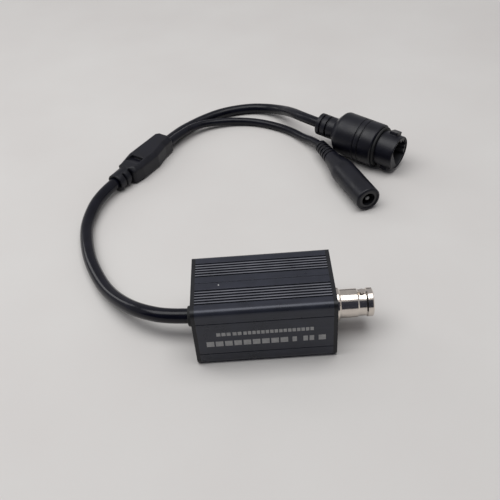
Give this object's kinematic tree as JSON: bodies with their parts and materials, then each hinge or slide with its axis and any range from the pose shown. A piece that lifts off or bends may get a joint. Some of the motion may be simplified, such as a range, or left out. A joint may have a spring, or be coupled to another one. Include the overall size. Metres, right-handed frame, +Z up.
{
  "type": "video encoder",
  "caption": "Ribbed black aluminium box with a BNC socket; its cable forks into a weatherproof network socket and a power socket.",
  "frame": {"origin": "middle of the ribbed tube's underside, the face it rests on", "axes": "+X along the box from the cable end to the BNC end, +Y to the back, +Z up"},
  "size_m": [0.14, 0.1629, 0.024],
  "materials": {
    "housing": "black anodised, satin",
    "end_plate": "black anodised, satin",
    "screw": "black oxide",
    "plating": "nickel plated",
    "hardware": "zinc plated",
    "insulator": "white, satin",
    "gold": "gold plated",
    "grommet": "matt black",
    "cable_jacket": "satin black PVC",
    "moulding": "satin black PVC",
    "sealing": "matt black",
    "jack": "dark grey, satin",
    "liner": "black, satin",
    "tin": "tin plated",
    "board": "green solder mask",
    "chip_package": "matt black epoxy",
    "crystal_can": "nickel plated",
    "ferrite": "dark grey, matt",
    "capacitor_can": "bright",
    "wire_connector": "off-white nylon",
    "wire": "coloured PVC"
  },
  "bodies": {
    "root": {"housing_extrusion": "housing", "bnc_end_plate": "end_plate", "cable_end_plate": "end_plate", "bnc_plate_screws": "screw", "cable_plate_screws": "screw", "bnc_body": "plating", "bnc_insulator": "insulator", "bnc_centre_contact": "gold", "bnc_lock_washer": "hardware", "bnc_panel_nut": "hardware", "cable_grommet": "grommet", "main_board": "board", "encoder_chip": "chip_package", "video_receiver_chip": "chip_package", "memory_chip": "chip_package", "ethernet_transformer": "chip_package", "clock_crystal": "crystal_can", "power_inductor": "ferrite", "capacitors": "capacitor_can", "wire_header": "wire_connector", "wire_plug": "wire_connector", "inner_wires": "wire", "main_cable": "cable_jacket", "splitter_moulding": "moulding", "network_lead": "cable_jacket", "power_lead": "cable_jacket", "network_socket_body": "moulding", "sealing_ring": "sealing", "network_socket_insert": "jack", "network_contacts": "gold", "power_socket_body": "moulding", "power_socket_liner": "liner", "power_socket_contact": "tin", "power_socket_pin": "tin"}
  },
  "joints": []
}
